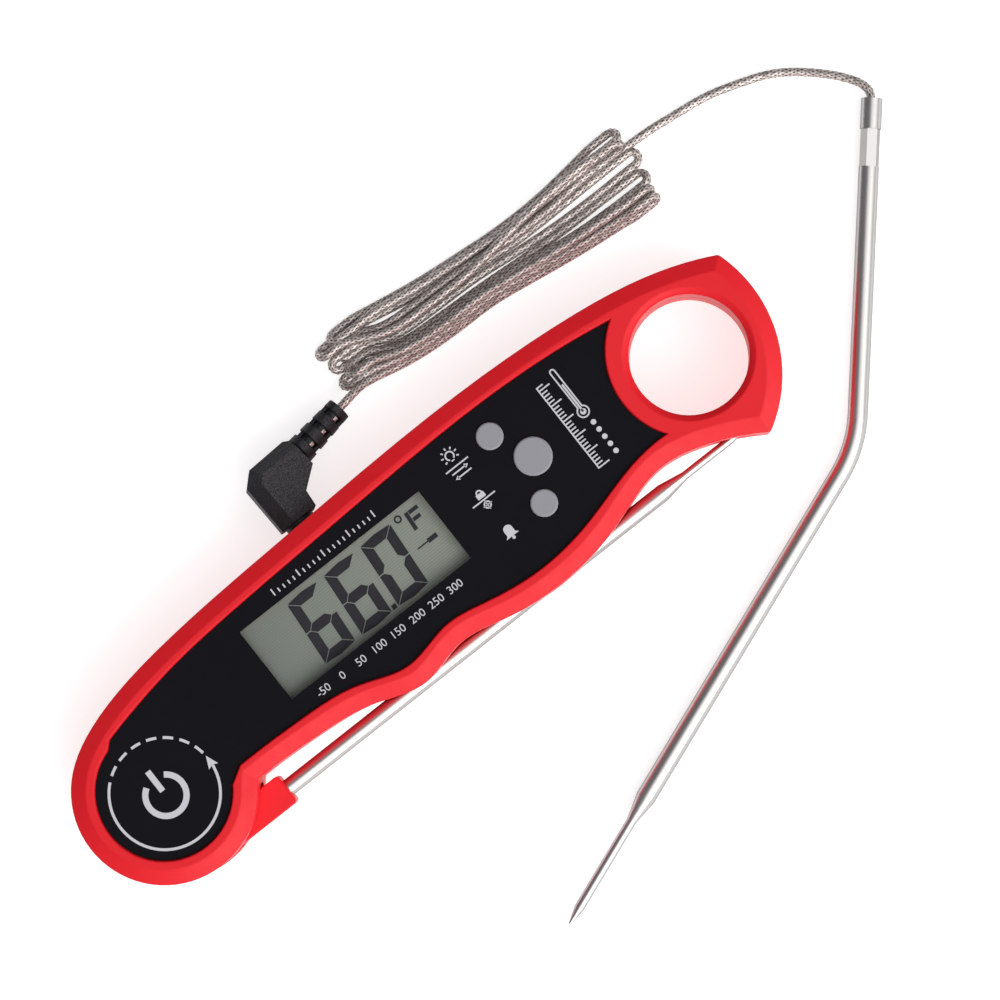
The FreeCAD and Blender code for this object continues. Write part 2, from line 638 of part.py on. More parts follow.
def plug_housing():
    low, high = AXIS_Z - HOUSING_HALF_H, AXIS_Z + HOUSING_HALF_H
    body = prism(polygon(HOUSING), low, high)
    corners = [V(x, y, high) for x, y in HOUSING[:4]]
    slopes = [(a + b) * 0.5 for a, b in zip(corners, corners[1:])]
    back = [e for e in edges_at(body, high) if any(e.CenterOfMass.isEqual(m, 1e-6) for m in slopes)]
    body = body.makeChamfer(HOUSING_SLOPE_DOWN, HOUSING_SLOPE_IN, back)
    under = [e for e in edges_at(body, low) if e.CenterOfMass.y > COLLAR_Y1 + 0.5]
    body = body.makeChamfer(HOUSING_BEVEL, under)
    seat = rod(on_jack_axis(COLLAR_Y0), on_jack_axis(PIN_END_Y), PIN_R)
    heading = on_circle(1.0, BOOT_HEADING_DEG)
    cord_way = rod(BOOT_START - heading * 6, BOOT_START + heading * 4, BOOT_CORE_R)
    return rolled(body.cut([seat, cord_way]))


def plug_collar():
    ends = on_jack_axis(COLLAR_Y0), on_jack_axis(COLLAR_Y1)
    return rod(*ends, COLLAR_R).cut(rod(*ends, PIN_R))


def on_jack_axis(y):
    return V(JACK_X, y, AXIS_Z)


def plug_pin_nodes():
    """The pin from its tip, which is waisted for the jack's spring, to the housing."""
    marks = [PIN_RING_Y, PIN_WAIST_Y, PIN_HEAD_Y, PIN_TIP_Y]
    lengths = [a - b for a, b in zip(marks, marks[1:])]
    return {
        "plug_sleeve": rod(on_jack_axis(PIN_SLEEVE_Y), on_jack_axis(PIN_END_Y), PIN_R),
        "plug_insulator": rod(on_jack_axis(PIN_RING_Y), on_jack_axis(PIN_SLEEVE_Y), PIN_R),
        "plug_tip": stem_profile(
            on_jack_axis(PIN_RING_Y), V(0, -1, 0), lengths, [PIN_R, PIN_WAIST_R, PIN_HEAD_R, PIN_TIP_R]
        ),
    }


def plug_boot():
    """Strain relief: a tapered sleeve with window gaps that leave a thin core."""
    heading = on_circle(1.0, BOOT_HEADING_DEG)
    end = BOOT_START + heading * BOOT_L
    sleeve = rod(BOOT_START, end, BOOT_R0, BOOT_R1)
    for near in BOOT_GAPS:
        start = BOOT_START + heading * near
        stop = start + heading * BOOT_GAP_W
        sleeve = sleeve.cut(rod(start, stop, 2 * BOOT_R0).cut(rod(start, stop, BOOT_CORE_R)))
        for side in (90, -90):
            rib = on_circle(1.0, BOOT_HEADING_DEG + side)
            middle = (start + stop) * 0.5 + rib * (BOOT_R1 - 0.5)
            bridge = rod(middle - heading * BOOT_GAP_W, middle + heading * BOOT_GAP_W, 0.5)
            sleeve = sleeve.fuse(bridge)
    root = rod(BOOT_START - heading * 5, BOOT_START + heading, BOOT_CORE_R)
    return rolled(sleeve.fuse(root))


# --- wired probe, ferrule and cord -----------------------------------------------------------
def wired_probe():
    upper = (STEM_MOUTH - STEM_CORNER).normalize()
    lower = (STEM_POINT - STEM_CORNER).normalize()
    half_turn = (math.pi - upper.getAngle(lower)) / 2
    room = STEM_BEND_R * math.tan(half_turn)
    inward = (upper + lower).normalize()
    centre = STEM_CORNER + inward * (STEM_BEND_R / math.cos(half_turn))
    start = STEM_MOUTH - upper * CRIMP_L
    first, last = STEM_CORNER + upper * room, STEM_CORNER + lower * room
    straight = (STEM_POINT - last).Length - STEM_CONE_L - STEM_THIN_L - STEM_TIP_L
    axis = V(0, 0, 1)
    turn = math.degrees(2 * half_turn)

    def bend(radius):
        disc = Part.Face(Part.Wire(Part.makeCircle(radius, first, upper)))
        way = 1 if (first - centre).cross(last - centre).z > 0 else -1
        return disc.revolve(centre, axis * way, turn)

    outside = stem_profile(
        last,
        lower,
        [straight, STEM_CONE_L, STEM_THIN_L, STEM_TIP_L],
        [STEM_R, STEM_R, STEM_THIN_R, STEM_THIN_R, STEM_TIP_R],
    )
    outside = outside.fuse([bend(STEM_R), rod(start, first, STEM_R)])
    inside = stem_profile(
        last,
        lower,
        [straight, STEM_CONE_L, STEM_THIN_L],
        [STEM_BORE_R, STEM_BORE_R, STEM_THIN_BORE_R, STEM_THIN_BORE_R],
    )
    inside = inside.fuse([bend(STEM_BORE_R), rod(start, first, STEM_BORE_R)])
    sensor_start = STEM_POINT - lower * (STEM_TIP_L + 6)
    sensor = rod(sensor_start, STEM_POINT - lower * STEM_TIP_L, STEM_THIN_BORE_R)
    return outside.cut(inside), sensor


def crimp_ferrule():
    upper = (STEM_MOUTH - STEM_CORNER).normalize()
    round_end = STEM_MOUTH - upper * CRIMP_ROUND_L
    end = STEM_MOUTH - upper * CRIMP_L
    ferrule = rod(STEM_MOUTH, round_end, CRIMP_R)
    crimped = rod(round_end, end, CRIMP_R)
    half = CRIMP_ACROSS / 2
    for turn in (30, 90, 150):
        slab = Part.makeBox(4 * CRIMP_R, CRIMP_ACROSS, CRIMP_L, V(-2 * CRIMP_R, -half, 0))
        slab.rotate(V(0, 0, 0), V(0, 0, 1), turn)
        slab.Placement = FreeCAD.Placement(end, FreeCAD.Rotation(V(0, 0, 1), upper)).multiply(slab.Placement)
        crimped = crimped.common(slab)
    spigot = rod(end, end - upper * CRIMP_SPIGOT_L, STEM_BORE_R)
    ferrule = ferrule.fuse([crimped, spigot])
    return ferrule.cut(rod(STEM_MOUTH - upper * CRIMP_MOUTH_L, STEM_MOUTH + upper, CRIMP_MOUTH_R))


def cord_hank():
    hank = prism(loop(HANK), 0.05, HANK_H)
    return hank.makeFillet(HANK_ROUND, edges_at(hank, HANK_H))


# --- the nodes -------------------------------------------------------------------------------
def build():
    nodes = {
        "front_shell": front_shell(),
        "back_shell": back_shell(),
        "shell_gasket": gasket_ring(GASKET_HALF_H).cut(jack_hole()),
        "face_panel": face_panel(),
        "main_board": main_board(),
        "controller_chip": box(*CHIP, BOARD_Z - 1.6, BOARD_Z),
        "buzzer": cylinder(BUZZER, BUZZER_R, BUZZER_Z, BOARD_Z),
        "reed_switch": rod(
            V(REED_X, REED_Y0, BOARD_Z - REED_R), V(REED_X, REED_Y1, BOARD_Z - REED_R), REED_R
        ),
        "battery_cell": cylinder(BATTERY, BATTERY_R, BATTERY_Z, BATTERY_TOP),
        "battery_leaf_minus": battery_leaf_minus(),
        "battery_leaf_plus": battery_leaf_plus(),
        "battery_door": battery_door(),
        "battery_door_seal": battery_door_seal(),
        "pivot_screw": cylinder((0, 0), PIVOT_SCREW_R, PIVOT_END_Z, PIVOT_SEAT_Z + 1).fuse(
            cylinder((0, 0), PIVOT_HEAD_R, PIVOT_SEAT_Z + WASHER_T, PIVOT_SEAT_Z + WASHER_T + PIVOT_HEAD_H)
        ),
        "pivot_washer": annulus((0, 0), PIVOT_SCREW_R, PIVOT_HEAD_R, PIVOT_SEAT_Z, PIVOT_SEAT_Z + WASHER_T),
        "probe_hub": probe_hub(),
        "hub_bush": annulus(
            (0, 0), POST_PIVOT_R + PIVOT_FIT, BUSH_R, AXIS_Z - HUB_HALF_H, AXIS_Z + HUB_HALF_H
        ),
        "hub_magnet": hub_magnet(),
        "folding_probe_tube": folding_probe_tube(),
        "folding_probe_sensor": folding_probe_sensor(),
        "jack_socket": jack_socket(),
        "jack_lug": jack_lug(),
        "plug_housing": plug_housing(),
        "plug_collar": plug_collar(),
        "crimp_ferrule": crimp_ferrule(),
        "cord_hank": cord_hank(),
    }
    nodes["plug_strain_relief"] = plug_boot().cut(nodes["plug_housing"])
    nodes.update(display_nodes())
    nodes.update(plug_pin_nodes())
    for name, (x, y, radius) in BUTTONS.items():
        nodes[name + "_button"] = button(x, y, radius)
        nodes[name + "_switch"] = tact_switch(x, y)
    for number, spot in enumerate(SHELL_SCREWS, 1):
        nodes[f"shell_screw_{number}"] = shell_screw(spot)
    for number, spot in enumerate(BOARD_SCREWS, 1):
        nodes[f"board_screw_{number}"] = board_screw(spot)
    for number, spot in enumerate(MAGNETS, 1):
        nodes[f"back_magnet_{number}"] = cylinder(spot, MAGNET_R, FLOOR, MAGNET_TOP)
    nodes["wired_probe_tube"], nodes["wired_probe_sensor"] = wired_probe()
    for name, route in (("cord_lead", LEAD), ("cord_run", RUN)):
        nodes[name] = bent_tube(name, route, CORD_R).cut(nodes["cord_hank"])
    return nodes


os.makedirs("parts", exist_ok=True)
for name, shape in build().items():
    if not shape.isValid() or len(shape.Solids) != 1 or shape.Volume <= 0:
        print("CHECK", name, shape.isValid(), len(shape.Solids), round(shape.Volume, 2))
    shape.exportStep(f"parts/{name}.step")
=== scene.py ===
import bpy
import json
import math
from mathutils import Matrix, Vector


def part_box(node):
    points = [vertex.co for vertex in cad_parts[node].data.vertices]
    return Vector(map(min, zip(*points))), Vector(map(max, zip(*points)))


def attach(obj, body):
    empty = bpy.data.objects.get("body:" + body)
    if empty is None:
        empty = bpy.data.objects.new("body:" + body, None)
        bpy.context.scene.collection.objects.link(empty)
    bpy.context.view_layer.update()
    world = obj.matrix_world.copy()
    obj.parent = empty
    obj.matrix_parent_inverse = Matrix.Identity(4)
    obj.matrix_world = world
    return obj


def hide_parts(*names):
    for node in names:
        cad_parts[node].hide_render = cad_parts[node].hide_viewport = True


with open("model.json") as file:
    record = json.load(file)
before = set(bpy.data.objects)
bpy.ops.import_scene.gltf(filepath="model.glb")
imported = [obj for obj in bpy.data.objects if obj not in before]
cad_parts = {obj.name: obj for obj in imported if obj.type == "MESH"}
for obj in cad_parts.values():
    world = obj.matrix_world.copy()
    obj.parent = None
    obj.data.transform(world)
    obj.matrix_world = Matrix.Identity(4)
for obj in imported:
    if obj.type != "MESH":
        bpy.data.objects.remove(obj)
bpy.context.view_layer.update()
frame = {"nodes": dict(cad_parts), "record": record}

# A folding meat thermometer on its back, with its wired probe plugged in.
# Lengths are written in millimetres and turned into metres by MM.
# +X runs from the probe's pivot to the finger ring, +Z out of the display.

MM = 0.001
MAIN = "thermometer"
PLUGGED = "plugged_probe"


def at(x, y, z=0.0):
    return Vector((x, y, z)) * MM


# --- camera ------------------------------------------------------------------------------
CAMERA_AT = at(103, -30, 819)
LOOK_AT = at(85.3, 4.5, 19)
IMAGE_TURN_DEG = 38.2  # the body points this far above the picture's horizontal
FIELD_DEG = 13.68


def make_camera():
    data = bpy.data.cameras.new("camera")
    data.angle = math.radians(FIELD_DEG)
    data.clip_start, data.clip_end = 0.01, 20
    camera = bpy.data.objects.new("camera", data)
    forward = (LOOK_AT - CAMERA_AT).normalized()
    turn = math.radians(IMAGE_TURN_DEG)
    right = forward.cross(Vector((math.sin(turn), math.cos(turn), 0))).normalized()
    up = right.cross(forward)
    turned = Matrix((right, up, -forward)).transposed()
    camera.matrix_world = Matrix.Translation(CAMERA_AT) @ turned.to_4x4()
    bpy.context.scene.collection.objects.link(camera)
    bpy.context.scene.camera = camera


# --- floor and light -----------------------------------------------------------------------
DARK_SIDE = (-0.12, 0.99, 0.0)  # the studio's unlit side
BRIGHT_TOP = (0.19, -0.53, 0.83)  # the middle of the lit ceiling, on the key light's side
SKY_STRENGTH = 1.46
KEY_AT, KEY_AIM = (0.22, -0.85, 0.80), (0.09, 0, 0)  # metres
KEY_SIZE, KEY_POWER = (1.3, 0.9), 8.5
FLOOR_HALF, FLOOR_DROP = 4.0, 0.00005  # the drop keeps the floor clear of what lies on it
FLOOR_GLOW = 0.7


def make_stage():
    mesh = bpy.data.meshes.new("floor")
    corners = [(FLOOR_HALF * x, FLOOR_HALF * y, 0) for x, y in ((-1, -1), (1, -1), (1, 1), (-1, 1))]
    mesh.from_pydata(corners, [], [(0, 1, 2, 3)])
    floor = bpy.data.objects.new("floor", mesh)
    floor.location.z = -FLOOR_DROP
    bpy.context.scene.collection.objects.link(floor)
    lit = plain("floor", (0.6, 0.6, 0.6), 0.8)
    shader = lit.node_tree.nodes["Principled BSDF"]
    shader.inputs["Emission Color"].default_value = (1, 1, 1, 1)
    shader.inputs["Emission Strength"].default_value = FLOOR_GLOW
    floor.data.materials.append(lit)


def area_light(name, place, aim, size, power):
    data = bpy.data.lights.new(name, "AREA")
    data.shape = "RECTANGLE"
    data.size, data.size_y = size
    data.energy = power
    lamp = bpy.data.objects.new(name, data)
    lamp.location = place
    lamp.rotation_euler = (Vector(aim) - Vector(place)).to_track_quat("-Z", "Y").to_euler()
    bpy.context.scene.collection.objects.link(lamp)


def make_sky():
    """A studio with a ceiling lit on the key light's side and dim walls, the far side the darkest."""
    world = bpy.data.worlds.new("studio")
    bpy.context.scene.world = world
    world.use_nodes = True
    nodes, links = world.node_tree.nodes, world.node_tree.links
    place = nodes.new("ShaderNodeTexCoord")

    def towards(direction):
        dot = nodes.new("ShaderNodeVectorMath")
        dot.operation = "DOT_PRODUCT"
        dot.inputs[1].default_value = direction
        links.new(place.outputs["Generated"], dot.inputs[0])
        return dot.outputs["Value"]

    away = ramp(nodes, links, towards(DARK_SIDE), 0.0, 1.0, -0.5, 0.4)
    walls = tint(nodes, links, away, (0.42, 0.42, 0.42), (0.13, 0.13, 0.14))
    ceiling = ramp(nodes, links, towards(BRIGHT_TOP), 0.0, 1.0, 0.66, 0.88)
    shade = mixed(nodes, links, ceiling, walls, (1.0, 1.0, 1.0))
    sky = nodes["Background"]
    links.new(shade, sky.inputs["Color"])
    sky.inputs["Strength"].default_value = SKY_STRENGTH


def make_lights():
    make_sky()
    area_light("key", KEY_AT, KEY_AIM, KEY_SIZE, KEY_POWER)
    bpy.context.scene.view_settings.view_transform = "Standard"


# --- materials ---------------------------------------------------------------------------
SEAM_Z, SEAM_HALF = 9.5 * MM, 0.12 * MM  # parting line of the two shells
SHELL_EDGE, BUTTON_EDGE = 0.5 * MM, 0.35 * MM  # how far the look of an edge is rounded
GRAIN_DEPTH = 0.02 * MM


def new_material(name):
    material = bpy.data.materials.new(name)
    material.use_nodes = True
    nodes, links = material.node_tree.nodes, material.node_tree.links
    return material, nodes, links, nodes["Principled BSDF"]


def plain(name, colour, roughness, metallic=0.0):
    material, _, _, shader = new_material(name)
    shader.inputs["Base Color"].default_value = (*colour, 1)
    shader.inputs["Roughness"].default_value = roughness
    shader.inputs["Metallic"].default_value = metallic
    return material


def noise(nodes, links, scale, detail=3.0, stretch=None):
    """A noise texture in the object's own metres; stretch scales the axes."""
    place = nodes.new("ShaderNodeTexCoord")
    texture = nodes.new("ShaderNodeTexNoise")
    texture.inputs["Scale"].default_value = scale
    texture.inputs["Detail"].default_value = detail
    if stretch is None:
        links.new(place.outputs["Object"], texture.inputs["Vector"])
    else:
        mapping = nodes.new("ShaderNodeMapping")
        mapping.inputs["Scale"].default_value = stretch
        links.new(place.outputs["Object"], mapping.inputs["Vector"])
        links.new(mapping.outputs["Vector"], texture.inputs["Vector"])
    return texture.outputs["Fac"]


def axes(nodes, links, space):
    """X, Y and Z of a texture coordinate."""
    place = nodes.new("ShaderNodeTexCoord")
    split = nodes.new("ShaderNodeSeparateXYZ")
    links.new(place.outputs[space], split.inputs["Vector"])
    return split.outputs


def maths(nodes, links, operation, *values):
    """A Math node; each value is a socket or a float."""
    node = nodes.new("ShaderNodeMath")
    node.operation = operation
    for socket, value in zip(node.inputs, values):
        if isinstance(value, float):
            socket.default_value = value
        else:
            links.new(value, socket)
    return node.outputs["Value"]


def ramp(nodes, links, value, low, high, at_low=0.3, at_high=0.7):
    """Maps a value to a number between low and high."""
    spread = nodes.new("ShaderNodeMapRange")
    spread.inputs["From Min"].default_value = at_low
    spread.inputs["From Max"].default_value = at_high
    spread.inputs["To Min"].default_value = low
    spread.inputs["To Max"].default_value = high
    links.new(value, spread.inputs["Value"])
    return spread.outputs["Result"]


def tint(nodes, links, value, first, second):
    """Mixes two colours by a value."""
    mix = nodes.new("ShaderNodeMix")
    mix.data_type = "RGBA"
    mix.inputs["A"].default_value = (*first, 1)
    mix.inputs["B"].default_value = (*second, 1)
    links.new(value, mix.inputs["Factor"])
    return mix.outputs["Result"]


def bump(nodes, links, height, distance, strength, shader):
    node = nodes.new("ShaderNodeBump")
    node.inputs["Distance"].default_value = distance
    node.inputs["Strength"].default_value = strength
    links.new(height, node.inputs["Height"])
    links.new(node.outputs["Normal"], shader.inputs["Normal"])


def moulded(name, dark, light, rough, grain_per_m=9000.0, grain=0.25, gloss=0.5, seam=None, edge=None):
    """Moulded plastic: fine grain, a faint drift of colour, uneven gloss, and a parting line at a height."""
    material, nodes, links, shader = new_material(name)
    colour = tint(nodes, links, noise(nodes, links, 45.0, 2.0), dark, light)
    if seam is not None:
        shadow = tuple(0.25 * c for c in dark)
        parting = maths(nodes, links, "COMPARE", axes(nodes, links, "Object")["Z"], seam, SEAM_HALF)
        colour = mixed(nodes, links, parting, colour, shadow)
    links.new(colour, shader.inputs["Base Color"])
    links.new(ramp(nodes, links, noise(nodes, links, 400.0), *rough), shader.inputs["Roughness"])
    bump(nodes, links, noise(nodes, links, grain_per_m, 2.0), GRAIN_DEPTH, grain, shader)
    if edge is not None:
        soften(nodes, links, edge, shader)
    shader.inputs["Specular IOR Level"].default_value = gloss
    return material


def soften(nodes, links, radius, shader):
    """Rounds the look of sharp edges under the grain."""
    worn = nodes.new("ShaderNodeBevel")
    worn.samples = 6
    worn.inputs["Radius"].default_value = radius
    grain = shader.inputs["Normal"].links[0].from_node
    links.new(worn.outputs["Normal"], grain.inputs["Normal"])


def mixed(nodes, links, value, colour, second):
    """Mixes a colour socket with a fixed colour by a value."""
    mix = nodes.new("ShaderNodeMix")
    mix.data_type = "RGBA"
    links.new(colour, mix.inputs["A"])
    mix.inputs["B"].default_value = (*second, 1)
    links.new(value, mix.inputs["Factor"])
    return mix.outputs["Result"]


def drawn_steel(name, along, colour=(0.62, 0.60, 0.585), rough=(0.27, 0.31)):
    """Drawn steel with faint lines along one direction; painted shade darkens its sides in place of the dark
    reflections there.
    """
    material, nodes, links, shader = new_material(name)
    stretch = tuple(900.0 if axis != along else 30.0 for axis in range(3))
    lines = noise(nodes, links, 1.0, 3.0, stretch)
    shader.inputs["Metallic"].default_value = 1.0
    # Painted shade: the colour darkens where the surface faces sideways, standing in for the dark reflections
    # down the steel's sides.
    level = maths(nodes, links, "ABSOLUTE", axes(nodes, links, "Normal")["Z"])
    painted_side_shade = ramp(nodes, links, level, 1.0, 0.0, 0.2, 0.75)
    bright = tint(nodes, links, noise(nodes, links, 120.0), tuple(c * 0.9 for c in colour), colour)
    painted_shade_colour = tuple(c * 0.26 for c in colour)
    links.new(mixed(nodes, links, painted_side_shade, bright, painted_shade_colour), shader.inputs["Base Color"])
    links.new(ramp(nodes, links, lines, *rough), shader.inputs["Roughness"])
    bump(nodes, links, lines, 0.000001, 0.05, shader)
    return material


def clear_window(name):
    """Clear plastic that shines only from outside, and more at low angles."""
    material, nodes, links, shader = new_material(name)
    through = nodes.new("ShaderNodeBsdfTransparent")
    gloss = nodes.new("ShaderNodeBsdfGlossy")
    gloss.inputs["Roughness"].default_value = 0.1
    fresnel = nodes.new("ShaderNodeFresnel")
    fresnel.inputs["IOR"].default_value = 1.45
    shape = nodes.new("ShaderNodeNewGeometry")
    outside = maths(nodes, links, "SUBTRACT", 1.0, shape.outputs["Backfacing"])
    low_angle = ramp(nodes, links, fresnel.outputs["Fac"], 0.0, 1.0, 0.045, 1.0)
    mix = nodes.new("ShaderNodeMixShader")
    links.new(maths(nodes, links, "MULTIPLY", low_angle, outside), mix.inputs["Fac"])
    links.new(through.outputs["BSDF"], mix.inputs[1])
    links.new(gloss.outputs["BSDF"], mix.inputs[2])
    links.new(mix.outputs["Shader"], nodes["Material Output"].inputs["Surface"])
    nodes.remove(shader)
    return material


def sparked(name):
    """Black plastic with a spark-eroded face: its grain is a bump, and light specks painted only on what
    faces up stand in for the grain's glints, so the smooth sides look darker.
    """
    material, nodes, links, shader = new_material(name)
    # Painted glints: lighter specks on up-facing faces stand in for the sparkle of the eroded grain; the
    # grain itself is the bump below.
    facing_up = ramp(nodes, links, axes(nodes, links, "Normal")["Z"], 0.0, 1.0, 0.9, 0.97)
    painted_glints = ramp(nodes, links, noise(nodes, links, 4600.0, 2.0), 0.0, 1.0, 0.36, 0.74)
    painted_glint_mask = maths(nodes, links, "MULTIPLY", facing_up, painted_glints)
    base = tint(nodes, links, noise(nodes, links, 300.0), (0.0075, 0.007, 0.009), (0.011, 0.010, 0.013))
    links.new(mixed(nodes, links, painted_glint_mask, base, (0.070, 0.067, 0.075)), shader.inputs["Base Color"])
    links.new(ramp(nodes, links, noise(nodes, links, 400.0), 0.45, 0.6), shader.inputs["Roughness"])
    bump(nodes, links, noise(nodes, links, 2600.0, 2.0), 0.0002, 1.0, shader)
    shader.inputs["Specular IOR Level"].default_value = 0.25
    return material


def display_material():
    """Grey-green liquid crystal, darker towards the pivot, with faint lines along it."""
    material, nodes, links, shader = new_material("display")
    low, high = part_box("display_glass")
    across = ramp(nodes, links, axes(nodes, links, "Object")["X"], 0.0, 1.0, low[0], high[0])
    base = tint(nodes, links, across, (0.185, 0.205, 0.18), (0.255, 0.275, 0.235))
    place = nodes.new("ShaderNodeTexCoord")
    wave = nodes.new("ShaderNodeTexWave")
    wave.bands_direction = "Y"
    wave.inputs["Scale"].default_value = 600.0
    links.new(place.outputs["Object"], wave.inputs["Vector"])
    faint = ramp(nodes, links, wave.outputs["Fac"], 0.0, 0.4, 0.35, 0.95)
    links.new(mixed(nodes, links, faint, base, (0.13, 0.145, 0.125)), shader.inputs["Base Color"])
    shader.inputs["Roughness"].default_value = 0.5
    shader.inputs["Specular IOR Level"].default_value = 0.2
    return material


def wire_material():
    """Bright drawn wire, its tone dimmed unevenly along the cord."""
    material, nodes, links, shader = new_material("cord_wire")
    shader.inputs["Metallic"].default_value = 0.55
    tone = ramp(nodes, links, noise(nodes, links, 1500.0, 4.0), 0.0, 1.0, 0.35, 0.65)
    links.new(tint(nodes, links, tone, (0.31, 0.262, 0.245), (0.82, 0.74, 0.70)), shader.inputs["Base Color"])
    links.new(ramp(nodes, links, noise(nodes, links, 5000.0), 0.3, 0.5), shader.inputs["Roughness"])
    return material


def make_materials():
    red = (0.72, 0.010, 0.018), (0.78, 0.014, 0.023)
    black = (0.0040, 0.0036, 0.0054), (0.0060, 0.0054, 0.0080)
    steel = drawn_steel("steel_x", 0)
    shell = {"rough": (0.36, 0.48), "grain_per_m": 6000.0, "gloss": 0.22, "edge": SHELL_EDGE}
    return {
        "shell": moulded("shell_red", *red, **shell),
        "shell_seam": moulded("shell_red_parted", *red, **shell, seam=SEAM_Z),
        "face": moulded("face_black", *black, (0.5, 0.62), 7000.0, grain=0.4, gloss=0.07),
        "window": clear_window("window_clear"),
        "display": display_material(),
        "ink": moulded("display_ink", (0.024, 0.022, 0.028), (0.030, 0.028, 0.034), (0.45, 0.55), gloss=0.1),
        "print": moulded("print_white", (0.52, 0.52, 0.55), (0.58, 0.58, 0.61), (0.5, 0.6), 12000.0),
        "white_plastic": moulded("white_plastic", (0.72, 0.72, 0.70), (0.78, 0.78, 0.76), (0.4, 0.5)),
        "rubber_black": moulded("rubber_black", (0.015, 0.015, 0.015), (0.02, 0.02, 0.02), (0.6, 0.75)),
        "button": moulded("button_grey", (0.27, 0.265, 0.295), (0.30, 0.295, 0.325), (0.45, 0.6), grain=0.4,
                          gloss=0.3, edge=BUTTON_EDGE),
        "board": moulded("board_green", (0.01, 0.09, 0.03), (0.015, 0.12, 0.045), (0.35, 0.45)),
        "component_black": moulded("component_black", (0.012, 0.012, 0.012), (0.02, 0.02, 0.02), (0.45, 0.6)),
        "reed_glass": moulded("reed_glass", (0.2, 0.4, 0.25), (0.25, 0.45, 0.3), (0.1, 0.2)),
        "contact": drawn_steel("contact_nickel", 2, (0.70, 0.66, 0.58)),
        "cell": steel,
        "magnet": plain("magnet_nickel", (0.55, 0.55, 0.55), 0.25, 1.0),
        "screw": drawn_steel("screw_zinc", 2, (0.5, 0.5, 0.5), (0.25, 0.4)),
        "bush": drawn_steel("bush_brass", 2, (0.65, 0.45, 0.16)),
        "probe_steel": steel,
        "sensor": moulded("sensor_resin", (0.5, 0.5, 0.45), (0.55, 0.55, 0.5), (0.3, 0.4)),
        "plug_black": sparked("plug_black"),
        "plug_collar": moulded("collar_black", (0.006, 0.006, 0.007), (0.010, 0.010, 0.011), (0.4, 0.5),
                               gloss=0.3),
        "cord": moulded("cord_core", (0.016, 0.012, 0.010), (0.035, 0.028, 0.025), (0.6, 0.75), gloss=0.2),
        "wire": wire_material(),
    }


def paint_nodes(materials):
    """Gives every CAD piece its slot's material; the two shells show their parting line."""
    slots = {part["node"]: part["material_slot"] for part in frame["record"]["subparts"]}
    for node, piece in frame["nodes"].items():
        for slot in piece.material_slots:
            slot.material = materials[slots[node]]
        if not piece.material_slots:
            piece.data.materials.append(materials[slots[node]])
    for node in ("front_shell", "back_shell"):
        for slot in frame["nodes"][node].material_slots:
            slot.material = materials["shell_seam"]


# --- cord --------------------------------------------------------------------------------
BRAID_STRANDS, BRAID_PITCH = 8, 12.0 * MM
BRAID_R, BRAID_RISE, BRAID_CORE_R = 0.86 * MM, 0.04 * MM, 0.79 * MM
BRAID_HALF_ANGLE = 0.22  # half a strip's width, in radians round the core
BRAID_CROWN = 0.05 * MM  # how far a strip's edges lie below its middle
EXIT = (71.4, 38.63, 6.04)
LEAD = [EXIT, (74.6, 39.2, 5.45), (78.2, 39.9, 3.6)]
# The hank: each strand's y at six stations along X, and the height it lies at. The first runs towards +X.
STATIONS = (88.0, 98.0, 108.0, 118.0, 128.0, 138.0)
STRANDS = [
    ((37.7, 36.9, 37.0, 35.4, 33.9, 32.9), 0.9),
    ((38.6, 37.8, 37.9, 36.4, 34.8, 33.8), 2.5),
    ((39.6, 38.7, 38.8, 37.4, 35.7, 34.7), 0.9),
    ((39.7, 38.8, 38.9, 37.3, 36.1, 35.5), 4.0),
    ((40.6, 39.8, 39.7, 38.5, 36.9, 36.4), 2.5),
    ((41.5, 40.9, 40.5, 39.7, 39.1, 39.1), 0.9),
    ((45.1, 44.6, 44.5, 43.2, 43.2, 43.3), 0.9),
    ((43.3, 42.8, 42.7, 41.5, 40.7, 40.5), 0.9),
    ((46.0, 45.7, 45.4, 44.1, 44.0, 44.9), 2.5),
    ((49.8, 48.0, 47.1, 46.1, 46.0, 45.9), 2.5),
    ((50.7, 49.0, 48.0, 47.1, 47.2, 48.3), 0.9),
    ((44.2, 43.8, 43.7, 45.2, 46.3, 46.8), 4.0),
    ((48.9, 46.9, 46.3, 45.0, 44.9, 44.5), 0.9),
]
# Folds between strands: the tip's x, then y and z of the strand that comes in and of the one that leaves.
FOLDS = [
    (145.8, 32.5, 0.9, 33.5, 3.1),
    (74.7, 41.0, 3.0, 43.1, 1.2),
    (145.9, 34.3, 0.9, 35.4, 3.2),
    (77.0, 42.2, 3.4, 44.4, 1.4),
    (146.9, 36.4, 2.2, 39.0, 0.9),
    (75.1, 44.9, 1.0, 47.0, 2.4),
    (148.1, 43.3, 1.2, 40.6, 1.0),
    (77.6, 45.9, 0.9, 48.4, 2.2),
    (146.6, 44.7, 1.2, 46.2, 3.6),
    (78.2, 49.5, 3.2, 51.4, 1.5),
    (147.3, 48.7, 1.4, 46.5, 3.2),
    (74.5, 48.5, 3.6, 50.3, 1.4),
]
FOLD_RUN = 6.0  # strands lie straight for this long before a fold
# A fold's points: reach along X in radii from the half circle's centre, share of the way across.
FOLD_SHAPE = ((-0.58, 0.0), (0.58, 0.0), (1.15, 0.5), (0.58, 1.0), (-0.58, 1.0))
RUN = [
    (151.2, 44.4, 1.0),
    (158.4, 43.5, 0.92),
    (165.8, 42.6, 0.92),
    (172.2, 40.6, 0.92),
    (178.6, 38.2, 0.92),
    (183.4, 34.7, 0.95),
    (187.3, 30.9, 1.15),
    (189.5, 28.2, 1.45),
    (191.2, 25.5, 1.85),
    (191.5, 22.72, 2.1),
    (190.02, 20.99, 2.1),
]


